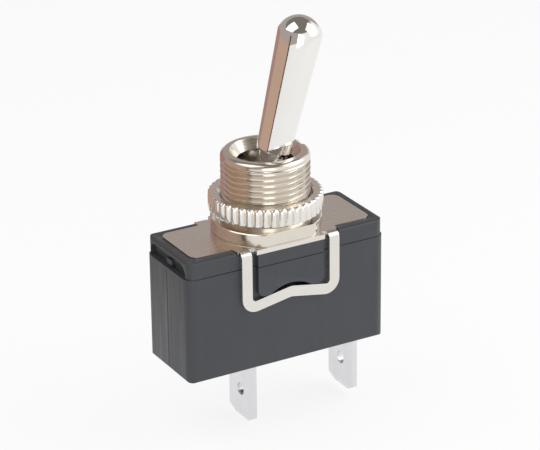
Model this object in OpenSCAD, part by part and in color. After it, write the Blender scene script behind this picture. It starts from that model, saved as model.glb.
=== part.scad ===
// Panel toggle switch, single pole, on-off, with a threaded bushing and two
// push-on tabs. The origin is on the bushing's axis, on top of its flange.
// The long side of the housing runs along X, and the lever points along +Z.

/* [Housing] */
// Length of the moulded housing
housing_l = 30; // [28:0.5:36]
// Width of the moulded housing
housing_w = 11.9; // [11.7:0.1:15]
// Height of the whole housing, from the cover's rim to the underside
housing_h = 17.1; // [16:0.1:24]
// Height of the cover above the seam
cover_h = 2.4; // [2.1:0.1:3.2]
// Wall thickness of the housing
wall = 1.5; // [1.2:0.1:1.6]
// Thickness of the floor of the housing
floor_t = 1.6; // [1.2:0.1:2]
// Radius of the four upright edges
edge_r = 1.5; // [0.8:0.1:2]
// Radius of the edges along the top and the bottom
rim_r = 0.35; // [0.2:0.05:0.5]
// Depth by which the cover's ends stand back from the housing
end_step = 0.2; // [0.1:0.05:0.35]
// Depth of the scoop in each end of the cover, at the seam
scoop_depth = 0.75; // [0.4:0.05:0.9]
// Width of the latch nib in each scoop
nib_w = 1.4; // [0.8:0.1:2.5]

/* [Retaining pads] */
// Width of the pad that each loop of the frame snaps over
pad_w = 9.9; // [8:0.1:10.2]
// Height of the pad, from the cover's rim to its lower edge
pad_h = 6.6; // [5.5:0.05:6.7]
// Radius of the pad's two lower corners
pad_r = 0.9; // [0.4:0.1:1.5]
// Width of the arched notch for a release tool
arch_w = 6.3; // [4:0.1:7]
// Height of the arched notch
arch_h = 1.05; // [0.6:0.05:1.6]
// Depth of the release pocket behind the loop's bar
pocket_depth = 0.9; // [0.5:0.1:1]

/* [Frame] */
// Thickness of the frame's steel sheet
sheet_t = 0.65; // [0.5:0.05:0.7]
// Length of the frame's top plate
plate_l = 27; // [24:0.5:27]
// Width of the two ends of the top plate
plate_w = 9.3; // [8:0.1:9.6]
// Corner radius of the top plate
plate_r = 1.2; // [0.6:0.1:2]
// Height by which the plate stands out of the cover
plate_proud = 0.15; // [0.05:0.05:0.3]
// Width of the loop from outside to outside
loop_w = 14.7; // [14.4:0.1:16]
// Width of the strip that each loop is made of
strap_w = 1.5; // [1.2:0.1:1.7]
// Depth of the loop, from the cover's rim to its lowest edge
loop_h = 8.5; // [8.4:0.1:9.5]
// Height of the kink in the middle of the bar
kink_h = 0.9; // [0.5:0.1:1.2]
// Outside radius of the loop's lower corners
loop_r = 2; // [1.8:0.1:2.6]
// Width of the relief slit beside each leg
relief_w = 0.7; // [0.4:0.05:0.8]

/* [Bushing] */
// Outside diameter of the thread (15/32 inch)
thread_d = 11.9; // [11.6:0.1:12.2]
// Height of the bushing above its flange
bushing_h = 9.1; // [8.6:0.1:12]
// Size of the rounded outer edge of the bushing's mouth
mouth_round = 0.75; // [0.4:0.05:0.9]
// Diameter of the countersink at the mouth
mouth_d = 9.4; // [8.8:0.1:9.8]
// Depth of the countersink at the mouth
mouth_depth = 1.3; // [0.8:0.1:1.6]
// Diameter of the bore around the ball
bore_d = 7.5; // [7.4:0.05:7.6]
// Diameter of the flange
flange_d = 14.8; // [14:0.1:15.2]
// Width across the two flats of the flange
flange_w = 12.8; // [12.2:0.1:13]
// Thickness of the flange above the frame
flange_h = 1.75; // [1.4:0.05:2.2]
// Width of the keyway along the thread
key_w = 1.9; // [1.2:0.1:2.4]
// Depth of the keyway
key_depth = 0.9; // [0.5:0.05:0.95]

/* [Ring nut] */
// Outside diameter of the ring nut over its knurls
nut_d = 15.3; // [14.6:0.1:17]
// Thickness of the ring nut
nut_t = 2.45; // [1.8:0.05:2.6]
// Height of the ring nut above the flange
nut_z = 0.97; // [0.2:0.01:1.2]
// Number of knurls round the ring nut
knurls = 42; // [30:1:48]
// Depth of the valleys between the knurls
knurl_depth = 0.42; // [0.2:0.02:0.5]

/* [Lever] */
// Height of the lever's pivot above the flange
pivot_z = 4; // [3.9:0.05:4.3]
// Angle of the lever to each side of upright, in degrees
throw = 15; // [10:0.5:15]
// Length of the lever from its pivot to its tip
lever_l = 23.3; // [20:0.1:28]
// Diameter of the bat at its top
bat_top_d = 6; // [5:0.1:7]
// Diameter of the bat at its foot
bat_foot_d = 4.6; // [4:0.1:4.8]
// Distance from the pivot to the foot of the bat
bat_foot = 4.8; // [4.6:0.1:5.4]
// Height of the domed end
dome_h = 2.25; // [1.6:0.05:2.4]
// Diameter of the neck between the ball and the bat
neck_d = 3.6; // [3:0.1:3.8]
// Diameter of the ball
ball_d = 6.9; // [6.6:0.05:6.95]
// Diameter of the stem below the ball
stem_d = 3.2; // [3:0.05:3.25]
// Length of the stem below the pivot
stem_l = 8.5; // [8:0.1:8.8]
// Diameter of the pivot pin
pin_d = 1.6; // [1.2:0.1:1.8]
// Radial running clearance round a pin
pin_clear = 0.04; // [0.02:0.01:0.08]

/* [Spring and plunger] */
// Diameter of the plunger
plunger_d = 2.04; // [1.9:0.02:2.1]
// Diameter of the spring
spring_d = 1.9; // [1.6:0.05:1.95]
// Diameter of the spring's wire
wire_d = 0.3; // [0.2:0.02:0.36]
// Number of turns of the spring
spring_turns = 6; // [4:1:8]
// Thickness of the washer between spring and plunger
washer_t = 0.3; // [0.2:0.05:0.5]

/* [Rocker] */
// Distance from the lever's pivot down to the rocker's valley
rocker_drop = 12; // [11.8:0.1:13]
// Angle of the rocker to each side of level, in degrees
rocker_throw = 7; // [5:0.5:7]
// Angle at which the rocker's arms rise from the valley, in degrees
arm_rise = 11; // [10.5:0.25:12]
// Thickness of the rocker's strip
strip_t = 0.8; // [0.6:0.05:0.9]
// Width of the rocker
rocker_w = 4.6; // [4.2:0.1:4.8]
// Height of the valley above the rocker's pin
valley_h = 1.9; // [1.8:0.05:2.2]
// Distance from the valley to the moving contact
contact_arm = 8.6; // [8.2:0.1:9]
// Length of the idle arm
idle_arm = 6.6; // [6:0.1:7.5]
// Diameter of the rocker's pin
rocker_pin_d = 1.5; // [1.2:0.1:1.6]
// Diameter of the two contact heads
contact_d = 3; // [2.4:0.1:3.4]
// Thickness of each contact head
contact_t = 0.9; // [0.6:0.05:1]

/* [Terminals] */
// Width of the push-on tabs
tab_w = 6.3; // [4.8:0.1:6.4]
// Thickness of the push-on tabs
tab_t = 0.8; // [0.5:0.05:0.9]
// Place of the common tab along X
common_x = -3.9; // [-5:0.1:-3.4]
// Place of the contact tab along X
contact_tab_x = 11.9; // [11.6:0.1:12.2]
// Length of the common tab below the housing
common_l = 10.05; // [8.5:0.05:12]
// Length of the contact tab below the housing
contact_l = 9.35; // [8.5:0.05:12]
// Distance from a tab's tip to its hole
tab_hole = 4.2; // [3.6:0.1:5]
// Diameter of the hole in a tab
tab_hole_d = 1.7; // [1.2:0.1:2]
// Width of the chamfer at each corner of a tab's tip
tab_chamfer = 1.4; // [0.8:0.1:1.8]

/* [Hidden] */
$fn = 64;
eps = 0.01;            // overlap that makes joined shapes one solid
seat = 0.05;           // gap between pieces that fit side by side
run_gap = 0.3;         // gap between pieces that pass each other

// heights, from the flange downwards
plate_top = -flange_h;
plate_under = plate_top - sheet_t;
rim_z = plate_top - plate_proud;
seam_z = rim_z - cover_h;
under_z = rim_z - housing_h;
floor_z = under_z + floor_t;

// cavity of the base
cavity_l = housing_l - 2 * wall;
cavity_w = housing_w - 2 * wall;

// frame
strap_in = housing_w / 2 + seat;        // inner face of the straps
strap_out = strap_in + sheet_t;
bend_r = 0.3;                           // inside radius of the folds
leg_in = loop_w / 2 - strap_w;
mid_x = leg_in - relief_w;              // half width of the plate's middle tongue
shoulder_x = loop_w / 2 + 0.35;         // the plate is wide up to here
loop_low = rim_z - loop_h;
kink_r = 1.5;
relief_depth = 0.75;

// pads
pad_low = rim_z - pad_h;
arch_r = (arch_w * arch_w / 4 + arch_h * arch_h) / (2 * arch_h);
arch_z = pad_low + arch_h - arch_r;
pocket_low = loop_low + kink_h + strap_w / 3;

// bushing and what passes under the frame
spigot_d = bore_d + 2.5;
flare_d = spigot_d + 0.6;
flare_t = 0.5;
throat_d = flare_d + 4 * seat;          // hole in the cover
slot_reach = spigot_d / 2 - 0.2;        // end of the slots for the pivot pin
retainer_in = bore_d / 2 + 0.1;
retainer_out = retainer_in + 0.45;
retainer_top = -0.6;
thread_r = thread_d / 2;

// lever
dome_r = (bat_top_d * bat_top_d / 4 + dome_h * dome_h) / (2 * dome_h);
pin_half = slot_reach - seat;
spring_top = pin_d / 2 + 1.5;
tip_slack = 0.12;                       // least gap between plunger and rocker
plunger_tip = rocker_drop - tip_slack;
plunger_top = stem_l - 2.3;
stem_bore_d = plunger_d + 0.16;

// rocker, seen from its pin, with its arms level
rocker_pin_z = pivot_z - rocker_drop - valley_h;
bend_x = contact_arm - 2.1;
bend_z = valley_h + bend_x * tan(arm_rise);
arm_end = contact_arm + 1.6;
arm_end_z = bend_z + (arm_end - bend_x) * tan(rocker_throw);
idle_z = valley_h + idle_arm * tan(arm_rise);
cheek_t = 0.6;
cheek_r = rocker_pin_d / 2 + 0.75;
contact_z = bend_z + (contact_arm - bend_x) * tan(rocker_throw) - strip_t;

// a point of the rocker, turned about the pin by an angle
function turned_x(x, z, a) = x * cos(a) + z * sin(a);
function turned_z(x, z, a) = z * cos(a) - x * sin(a);

// where the moving contact's face stops when the switch is on
face_x = contact_arm + contact_t * sin(rocker_throw);
face_z = contact_z - contact_t * cos(rocker_throw);
closed_x = turned_x(face_x, face_z, rocker_throw);
closed_z = rocker_pin_z + turned_z(face_x, face_z, rocker_throw);
shelf_top = closed_z - seat - contact_t;
shelf_in = closed_x - contact_d / 2 - 0.4;

// cradle, its foot and the block under the idle arm
ear_in = rocker_w / 2 + run_gap;
ear_t = 0.8;
ear_w = 3.6;
foot_top = floor_z + tab_t;
foot_end = 2.4;
rivet_d = 1.6;
rivet_head_d = 2.6;
rivet_head_t = 0.4;
block_in = idle_arm - 2.2;
block_top = rocker_pin_z
    + turned_z(-block_in, valley_h + block_in * tan(arm_rise) - strip_t, -rocker_throw)
    - seat;

// points on an arc from angle a0 to a1
function arc(cx, cy, r, a0, a1, n = 12) =
    [for (i = [0:n]) [cx + r * cos(a0 + (a1 - a0) * i / n), cy + r * sin(a0 + (a1 - a0) * i / n)]];

function mirrored(points) = [for (i = [len(points) - 1:-1:0]) [-points[i][0], points[i][1]]];

// a flat rectangle with round corners
module round_rect(l, w, r) {
    square([l - 2 * r, w], center = true);
    square([l, w - 2 * r], center = true);
    for (x = [-1, 1])
        for (y = [-1, 1])
            translate([x * (l / 2 - r), y * (w / 2 - r)])
                circle(r);
}

// an upright block with round upright edges
module round_block(l, w, r, z0, z1) {
    translate([0, 0, z0])
        linear_extrude(z1 - z0)
            round_rect(l, w, r);
}

// a shape drawn in X and Z, drawn out along Y from y0 to y1
module along_y(y0, y1) {
    translate([0, y1, 0])
        rotate([90, 0, 0])
            linear_extrude(y1 - y0)
                children();
}

// a shape drawn in Y and Z, drawn out along X from x0 to x1
module along_x(x0, x1) {
    translate([x0, 0, 0])
        rotate([90, 0, 90])
            linear_extrude(x1 - x0)
                children();
}

// cross-section with rounded edges at the bottom or at the top
module soft_bottom(w, z0, z1, r) {
    polygon(concat(arc(-w / 2 + r, z0 + r, r, 180, 270, 4), arc(w / 2 - r, z0 + r, r, 270, 360, 4),
        [[w / 2, z1], [-w / 2, z1]]));
}

module soft_top(w, z0, z1, r) {
    polygon(concat([[-w / 2, z0], [w / 2, z0]], arc(w / 2 - r, z1 - r, r, 0, 90, 4),
        arc(-w / 2 + r, z1 - r, r, 90, 180, 4)));
}

// the pad's outline, with its round lower corners
module pad_outline() {
    polygon(concat([[-pad_w / 2, plate_under]], arc(-pad_w / 2 + pad_r, pad_low + pad_r, pad_r, 180, 270, 6),
        arc(pad_w / 2 - pad_r, pad_low + pad_r, pad_r, 270, 360, 6), [[pad_w / 2, plate_under]]));
}

// the arched notch, which runs on down behind the bar
module arch_outline() {
    intersection() {
        translate([0, arch_z])
            circle(arch_r);
        translate([-arch_w / 2, pocket_low])
            square([arch_w, pad_low + arch_h - pocket_low + eps]);
    }
}

// the two pads, one on each long face
module pads() {
    difference() {
        along_y(-strap_out, strap_out)
            pad_outline();
        along_y(-housing_w / 2 + eps, housing_w / 2 - eps)
            translate([-pad_w, pad_low - 1])
                square([2 * pad_w, pad_h + 2]);
        for (s = [-1, 1])
            along_y(s * strap_out - 1, s * strap_out + 1)
                arch_outline();
    }
}

// the lower housing: an open box with slots for the two tabs
module base() {
    color("#4b4d52")
        difference() {
            union() {
                difference() {
                    intersection() {
                        round_block(housing_l, housing_w, edge_r, under_z, seam_z);
                        along_x(-housing_l, housing_l)
                            soft_bottom(housing_w, under_z, seam_z, rim_r);
                        along_y(-housing_w, housing_w)
                            soft_bottom(housing_l, under_z, seam_z, rim_r);
                    }
                    round_block(cavity_l, cavity_w, 0.6, floor_z, seam_z + 1);
                }
                intersection() {
                    pads();
                    translate([-housing_l, -housing_w, under_z])
                        cube([2 * housing_l, 2 * housing_w, seam_z - under_z]);
                }
                // pillar under the contact terminal's shelf
                translate([shelf_in, -cavity_w / 2 - eps, floor_z - eps])
                    cube([contact_tab_x - tab_t - shelf_in, cavity_w + 2 * eps, shelf_top - tab_t - floor_z + eps]);
                // moulding line down the middle of each end
                for (s = [-1, 1])
                    translate([s * housing_l / 2, 0, (under_z + seam_z) / 2])
                        cube([0.06, 0.1, seam_z - under_z - 2 * rim_r], center = true);
            }
            for (s = [-1, 1])
                along_y(s * (housing_w / 2 - pocket_depth / 2) - pocket_depth / 2,
                    s * (housing_w / 2 - pocket_depth / 2) + pocket_depth / 2 + eps)
                    arch_outline();
            for (x = [common_x, contact_tab_x])
                translate([x, 0, under_z + floor_t / 2])
                    cube([tab_t + 2 * seat, tab_w + 2 * seat, floor_t + 1], center = true);
            // relief for the heads of the rivets
            translate([0, 0, floor_z - rivet_head_t - seat])
                cylinder(d = rivet_head_d + 4 * seat, h = 1);
            translate([closed_x, 0, shelf_top - tab_t - rivet_head_t - seat])
                cylinder(d = rivet_head_d + 4 * seat, h = 1);
        }
}

// one scooped end of the cover, as the shape that is cut away
module scoop() {
    scoop_top = rim_z - 0.55;
    half = housing_w / 2 - edge_r + 0.35;
    round_in = 1.3;
    intersection() {
        along_x(-housing_l, 0)
            polygon(concat([[-half, seam_z - 1], [half, seam_z - 1]],
                arc(half - round_in, scoop_top - round_in, round_in, 0, 90, 6),
                arc(-half + round_in, scoop_top - round_in, round_in, 90, 180, 6)));
        along_y(-housing_w, housing_w)
            polygon(concat([[-housing_l, scoop_top + eps], [-housing_l, seam_z - eps]],
                [for (i = [0:6]) [-housing_l / 2 + end_step + scoop_depth * sqrt(1 - pow(i / 6, 2)),
                    seam_z - eps + (scoop_top - seam_z + 2 * eps) * i / 6]]));
    }
}

// the upper housing: a lid that carries the frame's plate in a recess
module cover() {
    nib_h = 0.75;
    nib_out = 0.5;
    lip_h = 0.8;
    lip_t = 0.8;
    seam_rebate = 0.12;
    cover_l = housing_l - 2 * end_step;
    color("#484a4f") {
        difference() {
            union() {
                intersection() {
                    round_block(cover_l, housing_w, edge_r, seam_z, rim_z);
                    along_x(-housing_l, housing_l)
                        soft_top(housing_w, seam_z, rim_z, rim_r);
                    along_y(-housing_w, housing_w)
                        soft_top(cover_l, seam_z, rim_z, rim_r);
                }
                intersection() {
                    pads();
                    translate([-housing_l, -housing_w, seam_z])
                        cube([2 * housing_l, 2 * housing_w, cover_h]);
                }
            }
            // recess for the plate
            round_block(plate_l + 2 * seat, plate_w + 2 * seat, plate_r + seat, plate_under, 0);
            // the rim stops where the plate is wide
            translate([-shoulder_x - seat, -housing_w, plate_under])
                cube([2 * (shoulder_x + seat), 2 * housing_w, 5]);
            translate([0, 0, seam_z - 1])
                cylinder(d = throat_d, h = 5);
            scoop();
            mirror([1, 0, 0])
                scoop();
            // fine groove along the seam
            translate([0, 0, seam_z])
                difference() {
                    cube([2 * housing_l, 2 * strap_out + 1, 2 * seam_rebate], center = true);
                    cube([cover_l - 2 * seam_rebate, housing_w - 2 * seam_rebate, 1], center = true);
                    cube([pad_w - 2 * seam_rebate, 2 * (strap_out - seam_rebate), 1], center = true);
                }
        }
        // latch nibs in the scoops
        for (s = [-1, 1])
            translate([s * (cover_l / 2 - scoop_depth + nib_out / 2 - 0.2), 0, seam_z + nib_h / 2 + 0.25])
                cube([nib_out + 0.4, nib_w, nib_h], center = true);
        // lip that centres the cover in the base
        difference() {
            round_block(cavity_l - 2 * seat, cavity_w - 2 * seat, 0.55, seam_z - lip_h, seam_z + eps);
            round_block(cavity_l - 2 * lip_t, cavity_w - 2 * lip_t, 0.2, seam_z - 2, seam_z + 1);
            cube([2 * (throat_d / 2 + 1.5), housing_w, 20], center = true);
            // ways for the contact arm and its end
            translate([0, 0, seam_z - 1])
                cube([2 * (arm_end + 1.2), rocker_w + 1.2, 4], center = true);
        }
    }
}

// outline of a loop, inset by some amount from its outer edge
function loop_slope() = let(dx = loop_w / 2 - loop_r, dz = kink_h - kink_r - loop_r)
    atan2(dz, dx) + asin((loop_r + kink_r) / sqrt(dx * dx + dz * dz));

function loop_half(inset) =
    concat([[-loop_w / 2 + inset, plate_top - 1.2]],
        arc(-loop_w / 2 + loop_r, loop_low + loop_r, loop_r - inset, 180, 270 + loop_slope(), 8),
        arc(0, loop_low + kink_h - kink_r, kink_r + inset, 90 + loop_slope(), 90, 5));

function loop_outline(inset) =
    let(half = loop_half(inset)) concat(half, [for (i = [len(half) - 2:-1:0]) [-half[i][0], half[i][1]]]);

// one fold between the plate and a leg, drawn in Y and Z
module fold_section() {
    outer = bend_r + sheet_t;
    polygon(concat([[-strap_in + 1.4, plate_top]],
        arc(-strap_out + outer, plate_top - outer, outer, 90, 180, 8),
        [[-strap_out, plate_top - 1.6], [-strap_in, plate_top - 1.6]],
        arc(-strap_out + outer, plate_top - outer, bend_r, 180, 90, 8),
        [[-strap_in + 1.4, plate_under]]));
}

// the sheet frame: a top plate with a loop folded down on each side
module frame() {
    color("#d9d9dc")
        difference() {
            union() {
                round_block(plate_l, plate_w, plate_r, plate_under, plate_top);
                // middle of the plate, as wide as the straps
                translate([-shoulder_x, -strap_in + bend_r + eps, plate_under])
                    cube([2 * shoulder_x, 2 * (strap_in - bend_r - eps), sheet_t]);
                translate([-mid_x, -strap_out, plate_under])
                    cube([2 * mid_x, 2 * strap_out, sheet_t]);
                for (s = [0, 1])
                    mirror([0, s, 0]) {
                        for (x = [-1, 1])
                            along_x(x * (loop_w / 2 - strap_w / 2) - strap_w / 2,
                                x * (loop_w / 2 - strap_w / 2) + strap_w / 2)
                                fold_section();
                        along_y(-strap_out, -strap_in)
                            difference() {
                                polygon(loop_outline(0));
                                polygon(loop_outline(strap_w));
                                translate([-loop_w, plate_top - 1.2 - eps])
                                    square([2 * loop_w, 5]);
                            }
                    }
            }
            // relief slits beside the legs
            for (x = [-1, 1])
                for (y = [-1, 1])
                    translate([x * (mid_x + relief_w / 2), y * strap_out, plate_top - 1])
                        cube([relief_w, 2 * relief_depth, 4], center = true);
            // round shoulders where the plate grows wide
            for (x = [-1, 1])
                for (y = [-1, 1])
                    translate([x * shoulder_x, y * (strap_in - bend_r), plate_top - 1])
                        rotate([0, 0, 45])
                            cube([0.5, 0.5, 4], center = true);
            translate([0, 0, plate_under - 1])
                cylinder(d = spigot_d, h = 4);
        }
}

// the threaded bushing, staked into the frame
module bushing() {
    color("#cfcac2")
        difference() {
            union() {
                intersection() {
                    translate([0, 0, plate_top])
                        cylinder(d = flange_d, h = flange_h);
                    translate([0, 0, plate_top])
                        cube([2 * flange_d, flange_w, 2 * flange_h], center = true);
                }
                cylinder(d = thread_d, h = bushing_h - mouth_round);
                // rounded edge of the mouth
                translate([0, 0, bushing_h - mouth_round])
                    rotate_extrude()
                        polygon(concat([[0, -eps], [thread_r, -eps]],
                            arc(thread_r - mouth_round, 0, mouth_round, 0, 90, 5), [[0, mouth_round]]));
                translate([0, 0, plate_under - eps])
                    cylinder(d = spigot_d, h = sheet_t + 2 * eps);
                translate([0, 0, plate_under - flare_t])
                    cylinder(d = flare_d, h = flare_t);
            }
            translate([0, 0, plate_under - 1])
                cylinder(d = bore_d, h = bushing_h + 5);
            translate([0, 0, bushing_h - mouth_depth])
                cylinder(d1 = bore_d, d2 = mouth_d, h = mouth_depth);
            translate([0, 0, bushing_h - eps])
                cylinder(d = mouth_d, h = 1);
            // seat of the pin retainer
            translate([0, 0, plate_under - 1])
                cylinder(r = retainer_out, h = retainer_top - plate_under + 1);
            // slots that the pivot pin is pushed up into
            translate([0, 0, pivot_z])
                rotate([90, 0, 0])
                    cylinder(d = pin_d, h = 2 * slot_reach, center = true);
            translate([-pin_d / 2, -slot_reach, plate_under - 1])
                cube([pin_d, 2 * slot_reach, pivot_z - plate_under + 1]);
            // keyway
            translate([thread_r - key_depth, -key_w / 2, 0])
                cube([2, key_w, bushing_h + 1]);
        }
}

// the knurled ring nut
module ring_nut() {
    knurl_r = PI * (nut_d / 2 - knurl_depth) / knurls;
    body_r = nut_d / 2 - knurl_r;
    edge = 0.25;
    color("#e6e6ea")
        translate([0, 0, nut_z])
            difference() {
                intersection() {
                    union() {
                        cylinder(r = nut_d / 2 - knurl_depth, h = nut_t, $fn = 96);
                        for (i = [0:knurls - 1])
                            rotate([0, 0, i * 360 / knurls])
                                translate([body_r, 0, 0])
                                    cylinder(r = knurl_r, h = nut_t, $fn = 20);
                    }
                    rotate_extrude($fn = 96)
                        polygon([[0, 0], [nut_d / 2 - edge, 0], [nut_d / 2 + eps, edge],
                            [nut_d / 2 + eps, nut_t - edge], [nut_d / 2 - edge, nut_t], [0, nut_t]]);
                }
                translate([0, 0, -1])
                    cylinder(r = thread_r + seat, h = nut_t + 2);
                translate([0, 0, nut_t - 0.4])
                    cylinder(r1 = thread_r, r2 = thread_r + 0.45, h = 0.4 + eps);
            }
}

// what belongs to the lever is drawn upright about its pivot, then tipped
module tipped() {
    translate([0, 0, pivot_z])
        rotate([0, throw, 0])
            children();
}

// the bat lever, with the ball that it turns on and a hollow stem
module lever() {
    chamfer = 0.12;
    dome_z = lever_l - dome_h;
    color("#ececef")
        tipped()
            difference() {
                union() {
                    translate([0, 0, bat_foot + chamfer])
                        cylinder(d1 = bat_foot_d, d2 = bat_top_d, h = dome_z - bat_foot - chamfer);
                    translate([0, 0, bat_foot])
                        cylinder(d1 = bat_foot_d - 2 * chamfer, d2 = bat_foot_d, h = chamfer + eps);
                    intersection() {
                        translate([0, 0, lever_l - dome_r])
                            sphere(r = dome_r);
                        translate([0, 0, dome_z - eps])
                            cylinder(d = bat_top_d, h = dome_h + 1);
                    }
                    cylinder(d = neck_d, h = bat_foot + eps);
                    sphere(d = ball_d);
                    translate([0, 0, -stem_l])
                        cylinder(d = stem_d, h = stem_l);
                }
                rotate([90, 0, 0])
                    cylinder(d = pin_d + 2 * pin_clear, h = 2 * ball_d, center = true);
                translate([0, 0, -stem_l - 1])
                    cylinder(d = stem_bore_d, h = stem_l + 1 - spring_top);
            }
}

// the pin that the lever turns on
module pivot_pin() {
    color("#b9bcc2")
        translate([0, 0, pivot_z])
            rotate([90, 0, 0])
                cylinder(d = pin_d, h = 2 * pin_half, center = true);
}

// ring pressed into the bushing, with two posts that hold the pin up
module pin_retainer() {
    post_out = slot_reach - 2 * seat;
    low = plate_under - flare_t;
    color("#c9b26a") {
        difference() {
            translate([0, 0, low])
                cylinder(r = retainer_out, h = retainer_top - low);
            translate([0, 0, low - 1])
                cylinder(r = retainer_in, h = retainer_top - low + 2);
        }
        difference() {
            intersection() {
                for (s = [-1, 1])
                    translate([0, s * (retainer_in + post_out) / 2, (retainer_top + pivot_z) / 2 - 0.5])
                        cube([pin_d, post_out - retainer_in, pivot_z - retainer_top + 1], center = true);
                translate([0, 0, low])
                    cylinder(r = post_out, h = 20);
            }
            // each post ends in a half-round cradle under the pin
            translate([0, 0, pivot_z])
                rotate([90, 0, 0])
                    cylinder(d = pin_d, h = 20, center = true);
            translate([-5, -10, pivot_z])
                cube([10, 20, 5]);
        }
    }
}

// a coil of wire as one swept skin
module coil(turns, mean_r, wire_r, z0, z1) {
    per_turn = 14;
    sides = 6;
    rings = turns * per_turn;
    rise = (z1 - z0 - 2 * wire_r) / rings;
    points = [for (i = [0:rings])
        for (k = [0:sides - 1])
            let(a = i * 360 / per_turn, b = 90 + k * 360 / sides, r = mean_r + wire_r * cos(b))
                [r * cos(a), r * sin(a), z0 + wire_r + i * rise + wire_r * sin(b)]];
    skin = [for (i = [0:rings - 1])
        for (k = [0:sides - 1])
            [i * sides + k, i * sides + (k + 1) % sides,
                (i + 1) * sides + (k + 1) % sides, (i + 1) * sides + k]];
    first = [for (k = [sides - 1:-1:0]) k];
    last = [for (k = [0:sides - 1]) rings * sides + k];
    polyhedron(points, concat(skin, [first], [last]));
}

// the spring inside the lever's stem
module lever_spring() {
    color("#9a9da3")
        tipped()
            coil(spring_turns, (spring_d - wire_d) / 2, wire_d / 2, -plunger_top + washer_t, -spring_top);
}

// washer that the spring presses on
module spring_washer() {
    color("#c8c9cc")
        tipped()
            translate([0, 0, -plunger_top])
                difference() {
                    cylinder(d = plunger_d, h = washer_t);
                    translate([0, 0, -1])
                        cylinder(d = plunger_d / 3, h = washer_t + 2);
                }
}

// the sliding plunger with its round tip
module plunger() {
    color("#ece7d8")
        tipped() {
            translate([0, 0, -plunger_tip + plunger_d / 2])
                cylinder(d = plunger_d, h = plunger_tip - plunger_top - plunger_d / 2);
            translate([0, 0, -plunger_tip + plunger_d / 2])
                sphere(d = plunger_d);
        }
}

// what belongs to the rocker is drawn level about its pin, then tipped
module rocked() {
    translate([0, 0, rocker_pin_z])
        rotate([0, -rocker_throw, 0])
            children();
}

// the rocking contact arm: a bent copper strip with two cheeks on a pin
module rocker() {
    color("#c77f52")
        rocked()
            difference() {
                union() {
                    along_y(-rocker_w / 2, rocker_w / 2)
                        polygon([[-idle_arm, idle_z], [0, valley_h], [bend_x, bend_z], [arm_end, arm_end_z],
                            [arm_end, arm_end_z - strip_t], [bend_x, bend_z - strip_t],
                            [0, valley_h - strip_t], [-idle_arm, idle_z - strip_t]]);
                    for (s = [-1, 1])
                        along_y(s * (rocker_w - cheek_t) / 2 - cheek_t / 2, s * (rocker_w - cheek_t) / 2 + cheek_t / 2) {
                            circle(cheek_r);
                            translate([-cheek_r, 0])
                                square([2 * cheek_r, valley_h - strip_t / 2]);
                        }
                }
                rotate([90, 0, 0])
                    cylinder(d = rocker_pin_d + 2 * pin_clear, h = 2 * rocker_w, center = true);
                // hole for the contact's shank
                translate([contact_arm, 0, contact_z])
                    rotate([0, -rocker_throw, 0])
                        cylinder(d = rivet_d, h = 6, center = true);
            }
}

// a contact rivet: a face, a shank and a closed head
module contact_rivet(grip) {
    head_t = 0.3;
    translate([0, 0, -contact_t])
        cylinder(d = contact_d, h = contact_t);
    cylinder(d = rivet_d, h = grip + eps);
    translate([0, 0, grip])
        cylinder(d = rivet_head_d - 0.4, h = head_t);
}

// the silver contact on the rocker
module moving_contact() {
    color("#dcdcd8")
        rocked()
            translate([contact_arm, 0, contact_z])
                rotate([0, -rocker_throw, 0])
                    contact_rivet(strip_t * cos(rocker_throw));
}

// the silver contact on the contact terminal's shelf
module fixed_contact() {
    color("#dcdcd8")
        translate([closed_x, 0, shelf_top])
            mirror([0, 0, 1])
                contact_rivet(tab_t);
}

// the pin that the rocker turns on
module rocker_pin() {
    color("#c2a052")
        translate([0, 0, rocker_pin_z])
            rotate([90, 0, 0])
                cylinder(d = rocker_pin_d, h = 2 * (ear_in + ear_t + 0.2), center = true);
}

// the bent cradle whose two ears carry the rocker's pin
module cradle() {
    color("#c9a44e")
        difference() {
            union() {
                translate([-ear_w / 2, -ear_in - ear_t, foot_top])
                    cube([ear_w, 2 * (ear_in + ear_t), ear_t]);
                for (s = [-1, 1])
                    along_y(s * (ear_in + ear_t / 2) - ear_t / 2, s * (ear_in + ear_t / 2) + ear_t / 2) {
                        translate([0, rocker_pin_z])
                            circle(d = ear_w);
                        translate([-ear_w / 2, foot_top])
                            square([ear_w, rocker_pin_z - foot_top]);
                    }
            }
            translate([0, 0, rocker_pin_z])
                rotate([90, 0, 0])
                    cylinder(d = rocker_pin_d, h = 20, center = true);
            translate([0, 0, foot_top - 1])
                cylinder(d = rivet_d, h = 4);
        }
}

// the rivet that joins the cradle to the common terminal
module cradle_rivet() {
    color("#b9964a") {
        translate([0, 0, floor_z - rivet_head_t])
            cylinder(d = rivet_head_d, h = rivet_head_t);
        translate([0, 0, floor_z - eps])
            cylinder(d = rivet_d, h = tab_t + ear_t + 2 * eps);
        translate([0, 0, foot_top + ear_t])
            cylinder(d = rivet_head_d, h = rivet_head_t);
    }
}

// the block that the idle arm rests on when the switch is off
module stop_block() {
    color("#d8d2c0")
        translate([-idle_arm - 0.6, -rocker_w / 2, floor_z])
            cube([idle_arm + 0.6 - block_in, rocker_w, block_top - floor_z]);
}

// a tab's blade in Y and Z, from its tip up to a height
module blade(tip_z, top_z) {
    chamfer_h = 0.9;
    half = tab_w / 2;
    polygon([[-half + tab_chamfer, tip_z], [half - tab_chamfer, tip_z], [half, tip_z + chamfer_h],
        [half, top_z], [-half, top_z], [-half, tip_z + chamfer_h]]);
}

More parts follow.
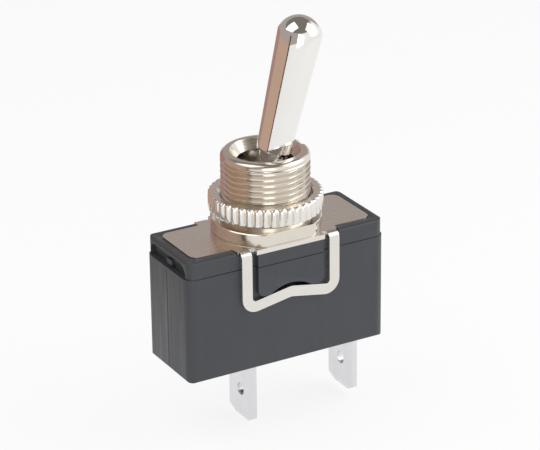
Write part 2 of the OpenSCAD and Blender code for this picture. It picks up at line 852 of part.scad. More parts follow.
// a push-on tab, with a bevelled tip, staked shoulders and its hole
module tab(x, tip_z, top_z) {
    shoulder_h = 0.5;
    shoulder_out = 0.35;
    bevel = 0.2;
    bevel_h = 0.8;
    difference() {
        union() {
            intersection() {
                along_x(x - tab_t / 2, x + tab_t / 2)
                    blade(tip_z, top_z);
                along_y(-tab_w, tab_w)
                    polygon([[x - tab_t / 2 + bevel, tip_z - eps], [x + tab_t / 2 - bevel, tip_z - eps],
                        [x + tab_t / 2, tip_z + bevel_h], [x + tab_t / 2, top_z + 1],
                        [x - tab_t / 2, top_z + 1], [x - tab_t / 2, tip_z + bevel_h]]);
            }
            translate([x - tab_t / 2, -tab_w / 2 - shoulder_out, under_z - shoulder_h])
                cube([tab_t, tab_w + 2 * shoulder_out, shoulder_h]);
        }
        translate([x, 0, tip_z + tab_hole])
            rotate([0, 90, 0])
                cylinder(d = tab_hole_d, h = 4, center = true);
    }
}

// the common tab, bent over into a foot on the floor of the housing
module common_terminal() {
    color("#dcdcdf")
        difference() {
            union() {
                tab(common_x, under_z - common_l, foot_top);
                translate([common_x - tab_t / 2, -tab_w / 2, floor_z])
                    cube([foot_end - common_x + tab_t / 2, tab_w, tab_t]);
            }
            translate([0, 0, floor_z - 1])
                cylinder(d = rivet_d, h = 4);
        }
}

// the contact tab, bent over into a shelf under the fixed contact
module contact_terminal() {
    color("#dcdcdf")
        difference() {
            union() {
                tab(contact_tab_x, under_z - contact_l, shelf_top);
                translate([shelf_in, -tab_w / 2, shelf_top - tab_t])
                    cube([contact_tab_x + tab_t / 2 - shelf_in, tab_w, tab_t]);
            }
            translate([closed_x, 0, shelf_top - 2])
                cylinder(d = rivet_d, h = 4);
        }
}

base();
cover();
frame();
bushing();
ring_nut();
lever();
pivot_pin();
pin_retainer();
lever_spring();
spring_washer();
plunger();
rocker();
moving_contact();
rocker_pin();
cradle();
cradle_rivet();
stop_block();
common_terminal();
contact_terminal();
fixed_contact();
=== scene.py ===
# %% [markdown]
# # A panel toggle switch, dressed in Blender
# This lesson takes the exact solids of a small toggle switch and gives them
# the look of the real thing: black moulded housing, nickel-plated metal and a
# polished bat lever. Each step first says what the real piece or finish is,
# how it could be made, and why this way was chosen.
#
# Lengths are in metres, so `mm` turns millimetres into them. The origin is on
# the axis of the bushing at the top of its flange, Z points up the bushing,
# X runs along the housing and Y across it.

import math

import bmesh
import bpy
from mathutils import Matrix, Vector


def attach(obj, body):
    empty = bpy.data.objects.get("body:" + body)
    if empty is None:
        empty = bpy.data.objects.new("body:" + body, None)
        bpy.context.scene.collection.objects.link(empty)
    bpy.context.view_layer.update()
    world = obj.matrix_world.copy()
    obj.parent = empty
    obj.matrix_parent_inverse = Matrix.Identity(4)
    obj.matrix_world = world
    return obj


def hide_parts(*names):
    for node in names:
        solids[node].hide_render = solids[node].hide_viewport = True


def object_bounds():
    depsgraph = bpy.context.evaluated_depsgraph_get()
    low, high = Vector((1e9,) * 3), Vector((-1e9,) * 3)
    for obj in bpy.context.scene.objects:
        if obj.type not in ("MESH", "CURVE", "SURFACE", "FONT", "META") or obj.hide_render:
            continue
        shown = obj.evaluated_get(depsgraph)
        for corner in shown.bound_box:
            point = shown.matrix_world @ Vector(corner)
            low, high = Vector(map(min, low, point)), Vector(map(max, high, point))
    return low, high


mm = 0.001
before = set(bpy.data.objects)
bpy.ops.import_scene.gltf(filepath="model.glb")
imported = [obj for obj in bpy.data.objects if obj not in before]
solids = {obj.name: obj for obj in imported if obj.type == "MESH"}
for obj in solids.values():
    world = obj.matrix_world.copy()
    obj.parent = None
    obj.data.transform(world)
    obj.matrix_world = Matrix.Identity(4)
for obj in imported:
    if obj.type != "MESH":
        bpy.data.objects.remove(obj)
cad_box = [list(corner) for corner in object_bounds()]
print("solids:", ", ".join(sorted(solids)))


# %% [markdown]
# Every finish here is a small tree of nodes. Clicking fifty nodes together
# one line each would hide the idea, so one helper adds a node, sets its
# options and fills its sockets. Where a value is itself a socket, the helper
# draws a wire to it.

# %% A helper for nodes, and one for colours
def add(tree, kind, inputs=None, **options):
    node = tree.nodes.new(kind)
    for name, value in options.items():
        setattr(node, name, value)
    for key, value in (inputs or {}).items():
        socket = node.inputs[key]
        if isinstance(value, bpy.types.NodeSocket):
            tree.links.new(value, socket)
        else:
            socket.default_value = value
    return node


def linear(code):
    """A colour as it is written on the web, as the linear numbers that Blender mixes."""
    parts = [int(code[i : i + 2], 16) / 255 for i in (1, 3, 5)]
    return [c / 12.92 if c <= 0.04045 else ((c + 0.055) / 1.055) ** 2.4 for c in parts] + [1]


print("mid grey #808080 is", round(linear("#808080")[0], 3), "in linear light")

# %% [markdown]
# All the finishes share one recipe: a Principled shader whose colour,
# roughness and bump each wander a little with a noise. What differs is how
# the noise is stretched. Rolled sheet has streaks along its length, turned
# metal has rings, and moulded plastic has an even spark-eroded grain. So one
# function starts a material and hands back the sockets that the later cells
# wire up.


# %% Start a finish
def new_finish(name, metallic, roughness):
    material = bpy.data.materials.new(name)
    material.use_nodes = True
    tree = material.node_tree
    shader = tree.nodes["Principled BSDF"]
    shader.inputs["Metallic"].default_value = metallic
    shader.inputs["Roughness"].default_value = roughness
    place = add(tree, "ShaderNodeTexCoord").outputs["Object"]
    return material, tree, shader, place


def stretched_noise(tree, place, per_metre, detail=4, rough=0.6):
    """Noise with its own number of grains to the metre along X, Y and Z."""
    mapping = add(tree, "ShaderNodeMapping", {"Vector": place, "Scale": per_metre})
    noise = add(tree, "ShaderNodeTexNoise", {"Vector": mapping.outputs[0], "Scale": 1.0,
                                             "Detail": detail, "Roughness": rough})
    return noise.outputs["Fac"]


def between(tree, factor, low, high, start=0.35, end=0.65):
    """Turns a noise into a number from low to high."""
    return add(tree, "ShaderNodeMapRange", {"Value": factor, "From Min": start, "From Max": end,
                                            "To Min": low, "To Max": high}).outputs[0]


def two_colours(tree, factor, first, second):
    mix = add(tree, "ShaderNodeMix", data_type="RGBA")
    tree.links.new(factor, mix.inputs["Factor"])
    mix.inputs[6].default_value = linear(first)
    mix.inputs[7].default_value = linear(second)
    return mix.outputs[2]


def bumped(tree, shader, height, distance, strength):
    bump = add(tree, "ShaderNodeBump",
               {"Height": height, "Distance": distance, "Strength": strength})
    tree.links.new(bump.outputs[0], shader.inputs["Normal"])


# %% [markdown]
# ## Black moulded housing
# The base and the cover are injection moulded in black glass-filled nylon.
# The tool is spark-eroded, so the skin has a very fine even grain and a dull
# sheen. Along the ends, where the part slides out of the tool, faint streaks
# run in the drawing direction. An image of a real surface would show them
# too, but a procedural grain has no edges and works at any distance.

# %% Glass-filled nylon
moulding, tree, shader, place = new_finish("Black glass-filled nylon, moulded", 0.0, 0.42)
streaks = stretched_noise(tree, place, (900, 2600, 60), detail=3)
grain = stretched_noise(tree, place, (9000, 9000, 9000), detail=2)
clouds = stretched_noise(tree, place, (140, 140, 140), detail=3)
tree.links.new(two_colours(tree, clouds, "#3a3d42", "#43464a"), shader.inputs["Base Color"])
tree.links.new(between(tree, streaks, 0.36, 0.52), shader.inputs["Roughness"])
height = add(tree, "ShaderNodeMath", {0: grain, 1: between(tree, streaks, 0.0, 0.6)},
             operation="ADD")
bumped(tree, shader, height.outputs[0], 0.012 * mm, 0.5)
print("made", moulding.name)

# %% [markdown]
# ## Nickel-plated metal
# The frame is pressed from rolled steel sheet, the bushing and the ring nut
# are turned from brass, and all are plated with nickel. Plating copies the
# surface below it, so the rolled streaks of the sheet and the rings left by
# the lathe stay visible. Nickel is a warm grey, a little yellower than steel.
# Metal gets its look from what it mirrors, so roughness matters more here
# than colour.

# %% Rolled and plated sheet
plated_sheet, tree, shader, place = new_finish("Nickel-plated steel sheet, pressed", 1.0, 0.2)
rolled = stretched_noise(tree, place, (120, 3200, 3200), detail=3)
patches = stretched_noise(tree, place, (160, 160, 160), detail=2)
tree.links.new(two_colours(tree, patches, "#dedad3", "#e8e5df"), shader.inputs["Base Color"])
tree.links.new(between(tree, rolled, 0.16, 0.3), shader.inputs["Roughness"])
bumped(tree, shader, rolled, 0.004 * mm, 0.35)
print("made", plated_sheet.name)


# %% Turned and plated brass
def turned_finish(name, first, second, smooth, rough, per_metre):
    material, tree, shader, place = new_finish(name, 1.0, smooth)
    axes = add(tree, "ShaderNodeSeparateXYZ", {0: place}).outputs
    squares = [add(tree, "ShaderNodeMath", {0: axes[i], 1: axes[i]}, operation="MULTIPLY").outputs[0]
               for i in (0, 1)]
    total = add(tree, "ShaderNodeMath", {0: squares[0], 1: squares[1]}, operation="ADD")
    radius = add(tree, "ShaderNodeMath", {0: total.outputs[0], 1: 0.5}, operation="POWER")
    along = add(tree, "ShaderNodeCombineXYZ", {0: radius.outputs[0], 2: axes[2]}).outputs[0]
    rings = stretched_noise(tree, along, (per_metre, 1, per_metre), detail=3)
    stains = stretched_noise(tree, place, (260, 260, 260), detail=3)
    tree.links.new(two_colours(tree, stains, first, second), shader.inputs["Base Color"])
    tree.links.new(between(tree, rings, smooth, rough), shader.inputs["Roughness"])
    bumped(tree, shader, rings, 0.004 * mm, 0.3)
    print("made", name)
    return material


turned = turned_finish("Nickel-plated brass, turned", "#dad2c6", "#e6e0d7", 0.14, 0.26, 9000)
knurled = turned_finish("Nickel-plated brass, knurled", "#e4e1db", "#eeebe6", 0.16, 0.28, 7000)
polished = turned_finish("Nickel-plated brass, polished", "#ebe8e4", "#f2f0ed", 0.05, 0.1, 3000)

# %% [markdown]
# ## Tinned tabs and the working parts
# The tabs are stamped from brass strip and tinned, which gives them a paler
# and softer shine. Inside the housing are a copper strip with silver contacts,
# a nylon plunger, brass and steel small parts, and a block of vulcanised
# fibre. They are seldom seen, yet the model can be opened, so each has its own
# real finish.


# %% Tin, copper, silver, brass, steel, nylon and fibre
def plain_metal(name, first, second, smooth, rough, per_metre):
    material, tree, shader, place = new_finish(name, 1.0, smooth)
    scratches = stretched_noise(tree, place, per_metre, detail=3)
    stains = stretched_noise(tree, place, (350, 350, 350), detail=3)
    tree.links.new(two_colours(tree, stains, first, second), shader.inputs["Base Color"])
    tree.links.new(between(tree, scratches, smooth, rough), shader.inputs["Roughness"])
    bumped(tree, shader, scratches, 0.003 * mm, 0.3)
    print("made", name)
    return material


tinned = plain_metal("Tinned brass strip, stamped", "#dddde0", "#e9e9ec", 0.22, 0.36, (3000, 3000, 200))
copper = plain_metal("Copper strip, bent", "#b5714c", "#c98a63", 0.22, 0.4, (200, 3000, 3000))
silver = plain_metal("Silver contact, coined", "#cfcdc8", "#dedcd8", 0.2, 0.34, (1500, 1500, 1500))
brass = plain_metal("Brass, pressed", "#b5975a", "#c9ad70", 0.2, 0.36, (1800, 1800, 1800))
steel = plain_metal("Steel pin, ground", "#a9abae", "#bcbec1", 0.16, 0.3, (3000, 300, 3000))
spring_steel = plain_metal("Spring steel wire, drawn", "#96989b", "#a9abae", 0.18, 0.32, (2500, 2500, 2500))


def plain_solid(name, first, second, rough, per_metre, depth):
    material, tree, shader, place = new_finish(name, 0.0, rough)
    specks = stretched_noise(tree, place, per_metre, detail=4)
    tree.links.new(two_colours(tree, specks, first, second), shader.inputs["Base Color"])
    tree.links.new(between(tree, specks, rough - 0.06, rough + 0.08), shader.inputs["Roughness"])
    bumped(tree, shader, specks, depth, 0.4)
    print("made", name)
    return material


nylon = plain_solid("Natural nylon, moulded", "#dedacd", "#e8e5da", 0.4, (1200, 1200, 1200), 0.01 * mm)
fibre = plain_solid("Vulcanised fibre, sawn", "#6e4032", "#83503f", 0.62, (400, 400, 4000), 0.03 * mm)


# %% Give a piece its finish and its body
def finished(piece, material, body=None):
    piece.data.materials.clear()
    piece.data.materials.append(material)
    if body:
        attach(piece, body)
    return piece


inside = {
    "pivot_pin": (steel, "steel_pin"), "spring_washer": (steel, "steel_pin"),
    "pin_retainer": (brass, "brass"), "rocker_pin": (brass, "brass"),
    "cradle": (brass, "brass"), "cradle_rivet": (brass, "brass"),
    "lever_spring": (spring_steel, "spring_steel"), "plunger": (nylon, "nylon"),
    "rocker": (copper, "copper_strip"), "moving_contact": (silver, "silver"),
    "fixed_contact": (silver, "silver"), "stop_block": (fibre, "fibre_block"),
}
for name, (material, slot) in inside.items():
    finished(solids[name], material)
print("finished", len(inside), "working parts")

# %% [markdown]
# ## Soft edges on the moulding, the frame and the tabs
# No real edge is sharp: a moulded or stamped edge has a radius of a few
# hundredths of a millimetre, and that is what catches the light. The solids
# already have the right shapes, so modelling them again would only lose
# accuracy. A copy of the solid is welded, its flat faces are joined, and a
# Bevel modifier rounds each edge that turns by more than thirty degrees.


# %% Copy a solid and soften its edges
def softened(name, material, radius, body="housing", turn=30, segments=2):
    mesh = solids[name].data.copy()
    mesh.materials.clear()
    skin = bmesh.new()
    skin.from_mesh(mesh)
    bmesh.ops.remove_doubles(skin, verts=skin.verts, dist=0.0005 * mm)
    bmesh.ops.dissolve_limit(skin, angle_limit=math.radians(0.5), verts=skin.verts, edges=skin.edges)
    skin.to_mesh(mesh)
    skin.free()
    mesh.shade_smooth()
    mesh.set_sharp_from_angle(angle=math.radians(turn))
    piece = bpy.data.objects.new(name + "_skin", mesh)
    bpy.context.scene.collection.objects.link(piece)
    bevel = piece.modifiers.new("soft edges", "BEVEL")
    bevel.width, bevel.segments = radius, segments
    bevel.limit_method, bevel.angle_limit = "ANGLE", math.radians(turn)
    bevel.use_clamp_overlap, bevel.harden_normals = True, True
    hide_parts(name)
    print(name, "has", len(mesh.polygons), "faces and edges of", radius / mm, "mm")
    return finished(piece, material, body)


softened("cover", moulding, 0.12 * mm)
softened("base", moulding, 0.12 * mm)
softened("frame", plated_sheet, 0.07 * mm)
softened("common_terminal", tinned, 0.06 * mm)
softened("contact_terminal", tinned, 0.06 * mm)

# %% [markdown]
# ## Round pieces
# The bushing, the ring nut and the lever come off a lathe, so each is one
# profile turned round an axis. A cylinder with cuts could come close, but a
# profile gives every chamfer and radius at once, and its rings make clean
# mirror-like highlights.


# %% Turn a profile round the Z axis
def turn(profile, steps, closed=True):
    """A skin from (radius, height) corners, listed with the metal on their left.
    A closed one joins its last ring to its first, unless it starts on the axis."""
    skin = bmesh.new()
    rings = []
    for radius, height in profile:
        if radius < 1e-9:
            rings.append([skin.verts.new((0, 0, height))] * steps)
        else:
            rings.append([skin.verts.new((radius * math.cos(a), radius * math.sin(a), height))
                          for a in (2 * math.pi * i / steps for i in range(steps))])
    on_axis = profile[0][0] < 1e-9
    for lower, upper in zip(rings, rings[1:] + (rings[:1] if closed and not on_axis else [])):
        for i in range(steps):
            corners = [lower[i], lower[i - 1], upper[i - 1], upper[i]]
            corners = [v for k, v in enumerate(corners) if v not in corners[:k]]
            if len(corners) > 2:
                skin.faces.new(corners)
    return skin


def arc(radius, height, size, start, end, count):
    """Points of a round corner in the profile, by angles in degrees."""
    return [(radius + size * math.cos(a), height + size * math.sin(a))
            for a in (math.radians(start + (end - start) * i / count) for i in range(count + 1))]


def piece_from(skin, name, sharp=35):
    mesh = bpy.data.meshes.new(name)
    bmesh.ops.recalc_face_normals(skin, faces=skin.faces)
    skin.to_mesh(mesh)
    skin.free()
    mesh.shade_smooth()
    mesh.set_sharp_from_angle(angle=math.radians(sharp))
    piece = bpy.data.objects.new(name, mesh)
    bpy.context.scene.collection.objects.link(piece)
    return piece


print("a corner of 0.3 mm:", [(round(r, 2), round(z, 2)) for r, z in arc(5, 0, 0.3, 0, 90, 2)])

# %% [markdown]
# ## The bat lever
# The lever is turned from brass: a ball that rocks in the bushing, a slim
# neck, and a bat that grows towards a domed end. Under the ball a stem carries
# the spring and the plunger. It is drawn upright about its pivot and tipped by
# fifteen degrees into its resting place.

# %% Turn the lever
pivot, throw = 4.0 * mm, math.radians(15)
lever_length, dome_height = 23.29 * mm, 2.25 * mm
bat_foot, foot_radius, top_radius = 4.8 * mm, 2.3 * mm, 3.0 * mm
ball_radius, neck_radius, stem_radius, stem_length = 3.45 * mm, 1.8 * mm, 1.6 * mm, 8.5 * mm
dome_radius = (top_radius**2 + dome_height**2) / (2 * dome_height)
dome_centre = lever_length - dome_radius
dome_edge = math.degrees(math.asin((lever_length - dome_height - dome_centre) / dome_radius))
bore_radius, bore_end = 1.1 * mm, -2.3 * mm

neck_meets = math.sqrt(ball_radius**2 - neck_radius**2)
stem_meets = -math.sqrt(ball_radius**2 - stem_radius**2)
lever_profile = [(0, bore_end), (bore_radius, bore_end), (bore_radius, -stem_length),
                 (stem_radius - 0.15 * mm, -stem_length), (stem_radius, -stem_length + 0.15 * mm)]
ball_low, ball_high = (math.degrees(math.asin(z / ball_radius)) for z in (stem_meets, neck_meets))
lever_profile += arc(0, 0, ball_radius, ball_low, ball_high, 24)
lever_profile += [(neck_radius, bat_foot), (foot_radius - 0.12 * mm, bat_foot),
                  (foot_radius, bat_foot + 0.12 * mm)]
bat_low, bat_high = bat_foot + 0.12 * mm, lever_length - dome_height
lever_profile += [(foot_radius + (top_radius - foot_radius) * i / 8,
                   bat_low + (bat_high - bat_low) * i / 8) for i in range(1, 8)]
lever_profile += arc(0, dome_centre, dome_radius, dome_edge, 90, 14)[:-1] + [(0, lever_length)]
skin = turn(lever_profile, 128)
bmesh.ops.transform(skin, verts=skin.verts,
                    matrix=Matrix.Translation((0, 0, pivot)) @ Matrix.Rotation(throw, 4, "Y"))
lever = piece_from(skin, "bat_lever", sharp=40)
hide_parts("lever")
finished(lever, polished, "lever")
print("lever profile has", len(lever_profile), "corners")

# %% [markdown]
# ## The threaded bushing
# The thread is one groove that winds round the barrel, 32 turns to the inch.
# Separate rings would be quicker, but they would show as level stripes and
# would not meet where a real thread does. Here Geometry Nodes lay a grid round
# the barrel whose rows climb by one pitch in each turn, so the crests and
# roots follow the rows exactly. Rows that would leave the barrel are held at
# its ends, where the groove fades out. The ends then fit plain turned rings.

# %% Geometry Nodes: a thread on a barrel
def new_tree(name, numbers, counts=()):
    """A tree that takes a mesh, these numbers, these whole numbers and a material."""
    tree = bpy.data.node_groups.new(name, "GeometryNodeTree")
    inputs = [("Geometry", "Geometry")] + [(label, "Float") for label in numbers]
    inputs += [(label, "Int") for label in counts] + [("Material", "Material")]
    for label, kind in inputs:
        tree.interface.new_socket(label, in_out="INPUT", socket_type="NodeSocket" + kind)
    tree.interface.new_socket("Geometry", in_out="OUTPUT", socket_type="NodeSocketGeometry")
    return tree, add(tree, "NodeGroupInput").outputs


def calc(tree, operation, first, second=0.0, third=0.0):
    return add(tree, "ShaderNodeMath", {0: first, 1: second, 2: third}, operation=operation).outputs[0]


def ends_in(tree, geometry, material):
    real = add(tree, "GeometryNodeRealizeInstances", {0: geometry})
    painted = add(tree, "GeometryNodeSetMaterial",
                  {"Geometry": real.outputs[0], "Material": material})
    add(tree, "NodeGroupOutput", {0: painted.outputs[0]})


t, given = new_tree("Thread on a barrel",
                    ("Radius", "Depth", "Pitch", "Bottom", "Top", "Run-out"),
                    ("Steps round", "Rows in a pitch", "Rows"))
columns = calc(t, "ADD", given["Steps round"], 1.0)
rows = calc(t, "ADD", given["Rows"], 1.0)
grid = add(t, "GeometryNodeMeshGrid", {"Vertices X": columns, "Vertices Y": rows})
index = add(t, "GeometryNodeInputIndex").outputs[0]
column = calc(t, "FLOOR", calc(t, "DIVIDE", calc(t, "ADD", index, 0.5), rows))
row = calc(t, "SUBTRACT", index, calc(t, "MULTIPLY", column, rows))
turned_by = calc(t, "DIVIDE", column, given["Steps round"])
wound = calc(t, "ADD", calc(t, "DIVIDE", row, given["Rows in a pitch"]), turned_by)
climb = calc(t, "MULTIPLY_ADD", calc(t, "SUBTRACT", wound, 1.0), given["Pitch"], given["Bottom"])
height = calc(t, "MINIMUM", calc(t, "MAXIMUM", climb, given["Bottom"]), given["Top"])
phase = calc(t, "FRACT", calc(t, "DIVIDE", row, given["Rows in a pitch"]))
groove = calc(t, "SUBTRACT", 1.0, calc(t, "ABSOLUTE", calc(t, "MULTIPLY_ADD", phase, 2.0, -1.0)))
groove = add(t, "ShaderNodeMapRange", {"Value": groove, "From Min": 0.16, "From Max": 0.88}).outputs[0]
from_end = calc(t, "MINIMUM", calc(t, "SUBTRACT", height, given["Bottom"]),
                calc(t, "SUBTRACT", given["Top"], height))
fade = add(t, "ShaderNodeMapRange",
           {"Value": from_end, "From Min": 0.0, "From Max": given["Run-out"]}).outputs[0]
depth = calc(t, "MULTIPLY", calc(t, "MULTIPLY", groove, fade), given["Depth"])
radius = calc(t, "SUBTRACT", given["Radius"], depth)
angle = calc(t, "MULTIPLY", turned_by, 2 * math.pi)
where = add(t, "ShaderNodeCombineXYZ", {0: calc(t, "MULTIPLY", radius, calc(t, "COSINE", angle)),
                                        1: calc(t, "MULTIPLY", radius, calc(t, "SINE", angle)), 2: height})
wrapped = add(t, "GeometryNodeSetPosition", {"Geometry": grid.outputs["Mesh"], "Position": where.outputs[0]})
joined = add(t, "GeometryNodeJoinGeometry")
t.links.new(given["Geometry"], joined.inputs[0])
t.links.new(wrapped.outputs[0], joined.inputs[0])
welded = add(t, "GeometryNodeMergeByDistance", {"Geometry": joined.outputs[0], "Distance": 0.004 * mm})
ends_in(t, welded.outputs[0], given["Material"])
print("the thread tree has", len(t.nodes), "nodes")


# %% Use a tree on a piece and keep the plain mesh
def keep_result(piece):
    evaluated = piece.evaluated_get(bpy.context.evaluated_depsgraph_get())
    mesh = bpy.data.meshes.new_from_object(evaluated)
    piece.modifiers.clear()
    piece.data = mesh


def grown(piece, tree, values):
    modifier = piece.modifiers.new(tree.name, "NODES")
    modifier.node_group = tree
    for item in tree.interface.items_tree:
        if item.item_type == "SOCKET" and item.in_out == "INPUT" and item.name in values:
            modifier[item.identifier] = values[item.name]
    keep_result(piece)


# %% [markdown]
# The rest of the bushing is turned: the flange with its two flats, the round
# edge of the mouth, the countersink, the bore and the rim that is flared out
# under the frame. A keyway and the slots of the pivot pin are cut afterwards,
# as they are in the workshop.

# %% Turn, thread and cut the bushing
barrel, mouth, bore = 5.95 * mm, 4.7 * mm, 3.75 * mm
bushing_top, mouth_round, mouth_depth = 9.1 * mm, 0.75 * mm, 1.3 * mm
flange_low, sheet, spigot, flare = -1.75 * mm, 0.65 * mm, 5.0 * mm, 5.3 * mm
flange_radius, edge = 7.4 * mm, 0.12 * mm
thread_low, thread_high = 0.25 * mm, bushing_top - mouth_round
bushing_low = flange_low - sheet - 0.5 * mm
steps = 144
inner = [(barrel, thread_high)] + arc(barrel - mouth_round, thread_high, mouth_round, 0, 90, 8)[1:]
inner += [(mouth, bushing_top), (bore, bushing_top - mouth_depth), (bore, -0.6 * mm), (4.3 * mm, -0.6 * mm),
          (4.3 * mm, bushing_low), (flare, bushing_low), (flare, bushing_low + 0.5 * mm),
          (spigot, bushing_low + 0.5 * mm), (spigot, flange_low), (flange_radius - edge, flange_low),
          (flange_radius, flange_low + edge), (flange_radius, -edge), (flange_radius - edge, 0),
          (barrel, 0), (barrel, thread_low)]
bushing = piece_from(turn(inner, steps, closed=False), "threaded_bushing")
rows_in_pitch, pitch = 12, 25.4 / 32 * mm
rows_needed = int(math.ceil(((thread_high - thread_low) / pitch + 1) * rows_in_pitch))
grown(bushing, t, {
    "Radius": barrel, "Depth": 0.46 * mm, "Pitch": pitch, "Bottom": thread_low, "Top": thread_high,
    "Run-out": 0.3 * mm, "Steps round": steps, "Rows in a pitch": rows_in_pitch, "Rows": rows_needed,
    "Material": turned})
skin = bmesh.new()
skin.from_mesh(bushing.data)
bmesh.ops.dissolve_degenerate(skin, dist=0.0005 * mm, edges=skin.edges)
bmesh.ops.recalc_face_normals(skin, faces=skin.faces)
skin.to_mesh(bushing.data)
print("open edges:", sum(1 for e in skin.edges if len(e.link_faces) != 2), "faces:", len(skin.faces))
skin.free()


# %% Cutters for the keyway, the flats and the pin slots
def block(low, high):
    skin = bmesh.new()
    bmesh.ops.create_cube(skin, size=1)
    low, high = Vector(low), Vector(high)
    for v in skin.verts:
        v.co = Vector([(low[k] + high[k]) / 2 + v.co[k] * (high[k] - low[k]) for k in range(3)])
    return skin


def cut(piece, skin, how="DIFFERENCE"):
    cutter = piece_from(skin, "cutter")
    boolean = piece.modifiers.new("cut", "BOOLEAN")
    boolean.object, boolean.operation, boolean.solver = cutter, how, "EXACT"
    keep_result(piece)
    bpy.data.objects.remove(cutter)


flat = 6.4 * mm
cut(bushing, block((barrel - 0.9 * mm, -0.95 * mm, 0), (9 * mm, 0.95 * mm, 12 * mm)))
cut(bushing, block((-9 * mm, -flat, -9 * mm), (9 * mm, flat, 12 * mm)), "INTERSECT")
cut(bushing, block((-0.8 * mm, -4.8 * mm, -5 * mm), (0.8 * mm, 4.8 * mm, pivot)))
bushing.data.shade_smooth()
bushing.data.set_sharp_from_angle(angle=math.radians(32))
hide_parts("bushing")
finished(bushing, turned, "housing")
print("the bushing has", len(bushing.data.polygons), "faces")

# %% [markdown]
# ## The knurled ring nut
# The nut's rim is rolled into forty-two rounded knurls so that fingers grip
# it. Forty-two copies of a bump would need joining; instead one rule moves the
# points of a plain turned ring inwards between the knurls. The rule is a small
# Geometry Nodes tree, so a nut with more or deeper knurls is two numbers away.

# %% Geometry Nodes: knurls on a rim
k, given = new_tree("Knurls on a rim", ("Count", "Depth", "Starts at", "Full at"))
position = add(k, "GeometryNodeInputPosition").outputs[0]
axes = add(k, "ShaderNodeSeparateXYZ", {0: position}).outputs
radius = calc(k, "SQRT", calc(k, "ADD", calc(k, "MULTIPLY", axes[0], axes[0]),
                              calc(k, "MULTIPLY", axes[1], axes[1])))
angle = calc(k, "ARCTAN2", axes[1], axes[0])
half_turns = calc(k, "MULTIPLY", given["Count"], 0.5)
wave = calc(k, "ABSOLUTE", calc(k, "COSINE", calc(k, "MULTIPLY", angle, half_turns)))
valley = calc(k, "SUBTRACT", 1.0, wave)
weight = add(k, "ShaderNodeMapRange", {"Value": radius, "From Min": given["Starts at"],
                                       "From Max": given["Full at"]}).outputs[0]
inward = calc(k, "MULTIPLY", calc(k, "MULTIPLY", valley, weight), given["Depth"])
scale = calc(k, "SUBTRACT", 1.0, calc(k, "DIVIDE", inward, radius))
where = add(k, "ShaderNodeCombineXYZ", {0: calc(k, "MULTIPLY", axes[0], scale),
                                        1: calc(k, "MULTIPLY", axes[1], scale), 2: axes[2]})
moved = add(k, "GeometryNodeSetPosition", {"Geometry": given["Geometry"], "Position": where.outputs[0]})
ends_in(k, moved.outputs[0], given["Material"])
print("the knurl tree has", len(k.nodes), "nodes")

# %% Turn and knurl the nut
nut_radius, nut_low, nut_height, knurls, knurl_depth = 7.65 * mm, 0.97 * mm, 2.45 * mm, 42, 0.42 * mm
nut_bore, bevel = barrel + 0.03 * mm, 0.25 * mm
nut_top = nut_low + nut_height
profile = [(nut_bore, nut_low + 0.3 * mm), (nut_bore + 0.3 * mm, nut_low), (6.9 * mm, nut_low),
           (nut_radius - bevel, nut_low), (nut_radius - 0.07 * mm, nut_low + 0.5 * bevel),
           (nut_radius, nut_low + bevel), (nut_radius, nut_top - bevel),
           (nut_radius - 0.07 * mm, nut_top - 0.5 * bevel),
           (nut_radius - bevel, nut_top), (6.9 * mm, nut_top),
           (barrel + 0.45 * mm, nut_top), (nut_bore, nut_top - 0.42 * mm)]
nut = piece_from(turn(profile, knurls * 14), "knurled_nut")
grown(nut, k, {"Count": float(knurls), "Depth": knurl_depth, "Starts at": 7.1 * mm,
               "Full at": nut_radius - 0.05 * mm, "Material": knurled})
nut.data.shade_smooth()
nut.data.set_sharp_from_angle(angle=math.radians(38))
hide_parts("ring_nut")
finished(nut, knurled, "housing")
print("the nut has", len(nut.data.polygons), "faces")

# %% [markdown]
# ## Studio
# Small metal goods are usually shown on a white table inside white walls, so
# that the metal mirrors clean white, and a few cards of grey or brown board
# stand outside the view to draw the dark lines that show its shape. The floor
# is white and keeps the soft shadow of the switch. The cards are seen only in
# reflections.

# %% Floor and world
floor_z = cad_box[0][2] - 0.02 * mm


def sheet_of(name, corners, material):
    mesh = bpy.data.meshes.new(name)
    mesh.from_pydata([Vector(c) for c in corners], [], [range(len(corners))])
    mesh.materials.append(material)
    made = bpy.data.objects.new(name, mesh)
    bpy.context.scene.collection.objects.link(made)
    return made


def seen_directly(tree):
    """1 for the camera and for what metal or glass mirrors, 0 for plain light."""
    ray = add(tree, "ShaderNodeLightPath").outputs
    either = calc(tree, "MAXIMUM", ray["Is Camera Ray"], ray["Is Glossy Ray"])
    return calc(tree, "MAXIMUM", either, ray["Is Transmission Ray"])


white = bpy.data.materials.new("White table")
white.use_nodes = True
tree = white.node_tree
shader = tree.nodes["Principled BSDF"]
shader.inputs["Base Color"].default_value = linear("#ffffff")
shader.inputs["Roughness"].default_value = 0.9
seen = seen_directly(tree)
shown_white = 0.85
glow = add(tree, "ShaderNodeEmission", {"Color": (1, 1, 1, 1), "Strength": 1.0})
both = add(tree, "ShaderNodeMixShader", {0: calc(tree, "MULTIPLY", seen, shown_white),
                                         1: shader.outputs[0], 2: glow.outputs[0]})
tree.links.new(both.outputs[0], tree.nodes["Material Output"].inputs[0])
table = 3.0
sheet_of("floor", [(x * table, y * table, floor_z)
                   for x, y in ((-1, -1), (1, -1), (1, 1), (-1, 1))], white)

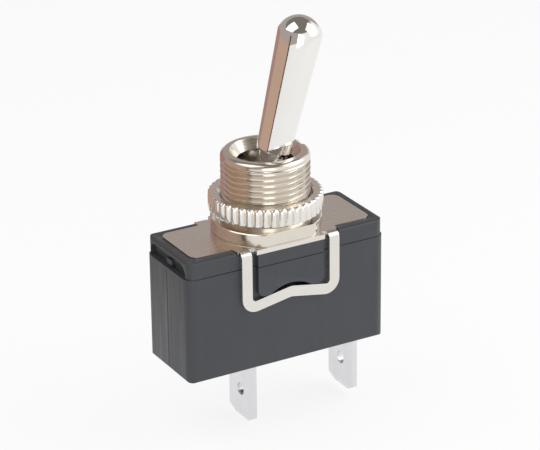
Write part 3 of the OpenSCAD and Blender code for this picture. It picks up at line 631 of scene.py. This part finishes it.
world = bpy.context.scene.world or bpy.data.worlds.new("Studio")
bpy.context.scene.world = world
world.use_nodes = True
tree = world.node_tree
tree.nodes.clear()
seen = seen_directly(tree)
soft = add(tree, "ShaderNodeBackground", {"Color": linear("#ffffff"), "Strength": 0.5})
bright = add(tree, "ShaderNodeBackground", {"Color": (1, 1, 1, 1), "Strength": 1.0})
both = add(tree, "ShaderNodeMixShader", {0: seen, 1: soft.outputs[0], 2: bright.outputs[0]})
tree.links.new(both.outputs[0], add(tree, "ShaderNodeOutputWorld").inputs[0])
print("floor at", round(floor_z / mm, 2), "mm")


# %% [markdown]
# Two large softboxes light the switch: one almost overhead on the left, one
# in front on the right. On the domed end of the lever they show as two white
# windows. The cards round them are what polished metal mirrors beside the
# white table: brown board on the left, grey board behind and overhead. Cards
# that only reflections can see leave the plain light on the housing alone.


# %% Lamps
def softbox(name, towards, distance, width, watts):
    lamp = bpy.data.lights.new(name, "AREA")
    lamp.shape, lamp.size, lamp.energy = "SQUARE", width, watts
    made = bpy.data.objects.new(name, lamp)
    bpy.context.scene.collection.objects.link(made)
    made.location = Vector(towards).normalized() * distance
    made.rotation_mode = "QUATERNION"
    made.rotation_quaternion = (-Vector(towards)).to_track_quat("-Z", "Y")


# name, direction from the switch, distance, width, watts
softbox("overhead left", (-0.45, 0.06, 0.89), 0.24, 0.17, 0.14)
softbox("front right", (0.68, -0.40, 0.60), 0.26, 0.21, 0.25)
softbox("front", (-0.35, -0.90, 0.20), 0.80, 0.40, 1.0)
print("three softboxes")


# %% Cards
def board(name, colour):
    material = bpy.data.materials.new(name)
    material.use_nodes = True
    tree = material.node_tree
    glow = add(tree, "ShaderNodeEmission", {"Color": linear(colour), "Strength": 1.0})
    tree.links.new(glow.outputs[0], tree.nodes["Material Output"].inputs[0])
    return material


def only_mirrored(made):
    for ray_kind in ("camera", "diffuse", "transmission", "volume_scatter", "shadow"):
        setattr(made, "visible_" + ray_kind, False)


def card(name, colour, radius, start, end, low, high):
    """A curved card round the switch: angles in degrees from +X, heights above the origin."""
    corners, steps = [], 24
    for i in range(steps + 1):
        angle = math.radians(start + (end - start) * i / steps)
        corners += [(radius * math.cos(angle), radius * math.sin(angle), z) for z in (low, high)]
    faces = [(2 * i, 2 * i + 2, 2 * i + 3, 2 * i + 1) for i in range(steps)]
    mesh = bpy.data.meshes.new(name)
    mesh.from_pydata(corners, [], faces)
    mesh.materials.append(board(name, colour))
    made = bpy.data.objects.new(name, mesh)
    bpy.context.scene.collection.objects.link(made)
    only_mirrored(made)


near, far, board_top, lid_z = 0.066, 0.30, 0.030, 0.265
card("red-brown board", "#b08a84", near, 80, 125, floor_z, board_top)
card("tan board", "#c3a692", near, 125, 196, floor_z, board_top)
card("dark edge", "#3c3632", near, 196, 202, floor_z, 0.045)
card("grey board behind", "#b0a6a2", far, 20, 235, 0.04, 0.26)
card("grey board overhead", "#7d7873", far, 0, 360, 0.26, lid_z)
rim = [math.radians(15 * i) for i in range(24)]
only_mirrored(sheet_of("lid", [(far * math.cos(a), far * math.sin(a), lid_z) for a in rim],
                       board("grey lid", "#7d7873")))
print("cards stand round the switch")

# %% [markdown]
# The camera stands about a third of a metre away, in front on the left and a
# little above, with a long lens that keeps the upright edges nearly parallel.
# Its place and its three angles are given as numbers, because tracking an
# empty would hide how it is turned.

# %% Camera
camera = bpy.data.objects.new("camera", bpy.data.cameras.new("camera"))
bpy.context.scene.collection.objects.link(camera)
bpy.context.scene.camera = camera
camera.data.lens, camera.data.sensor_width = 165.81, 36
camera.data.clip_start, camera.data.clip_end = 0.01, 20
azimuth, elevation, roll = (math.radians(v) for v in (29.533, 23.236, -0.677))
ahead = Vector((math.sin(azimuth) * math.cos(elevation),
                math.cos(azimuth) * math.cos(elevation), -math.sin(elevation)))
right = Vector((math.cos(azimuth), -math.sin(azimuth), 0))
up = right.cross(ahead)
across = right * math.cos(roll) + up * math.sin(roll)
over = up * math.cos(roll) - right * math.sin(roll)
camera.matrix_world = Matrix.Translation((-0.14885, -0.26382, 0.12834)) @ Matrix(
    (across, over, -ahead)).transposed().to_4x4()
print("camera", [round(v, 4) for v in camera.matrix_world.translation])

# %% [markdown]
# The Standard view keeps white white.

# %% Picture settings
bpy.context.scene.view_settings.view_transform = "Standard"
